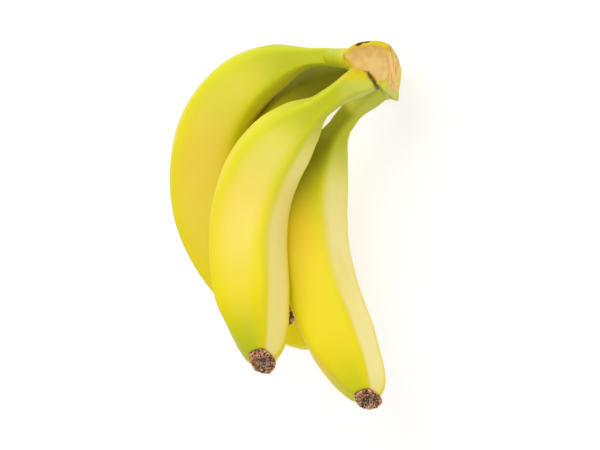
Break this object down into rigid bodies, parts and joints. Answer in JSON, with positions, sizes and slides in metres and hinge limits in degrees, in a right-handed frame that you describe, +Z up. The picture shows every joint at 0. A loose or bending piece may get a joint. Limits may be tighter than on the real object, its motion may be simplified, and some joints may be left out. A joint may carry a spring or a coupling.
{
  "type": "bunch of bananas",
  "caption": "Bunch of ripe curved bananas joined at a knife-cut crown of stalk, lying on its side, with green necks and dried blossom ends.",
  "frame": {"origin": "centre of the bounding box on the surface that the bunch lies on", "axes": "+Z up from the surface, +Y towards the crown end, +X towards the side that the necks leave the crown from behind"},
  "size_m": [0.154, 0.179, 0.0972],
  "materials": {
    "peel": "smooth waxy ripe peel, bright yellow, turning yellow-green on the neck and at the tip",
    "stalk": "moist fibrous cut stalk, tan, with yellow-green skin and browned edges",
    "dried_flower": "dry, rough, fibrous, dark brown with pale shreds"
  },
  "bodies": {
    "root": {"crown": "stalk", "banana_front": "peel", "banana_right": "peel", "banana_back": "peel", "banana_left": "peel", "blossom_end_front": "dried_flower", "blossom_end_right": "dried_flower", "blossom_end_back": "dried_flower", "blossom_end_left": "dried_flower"}
  },
  "joints": []
}
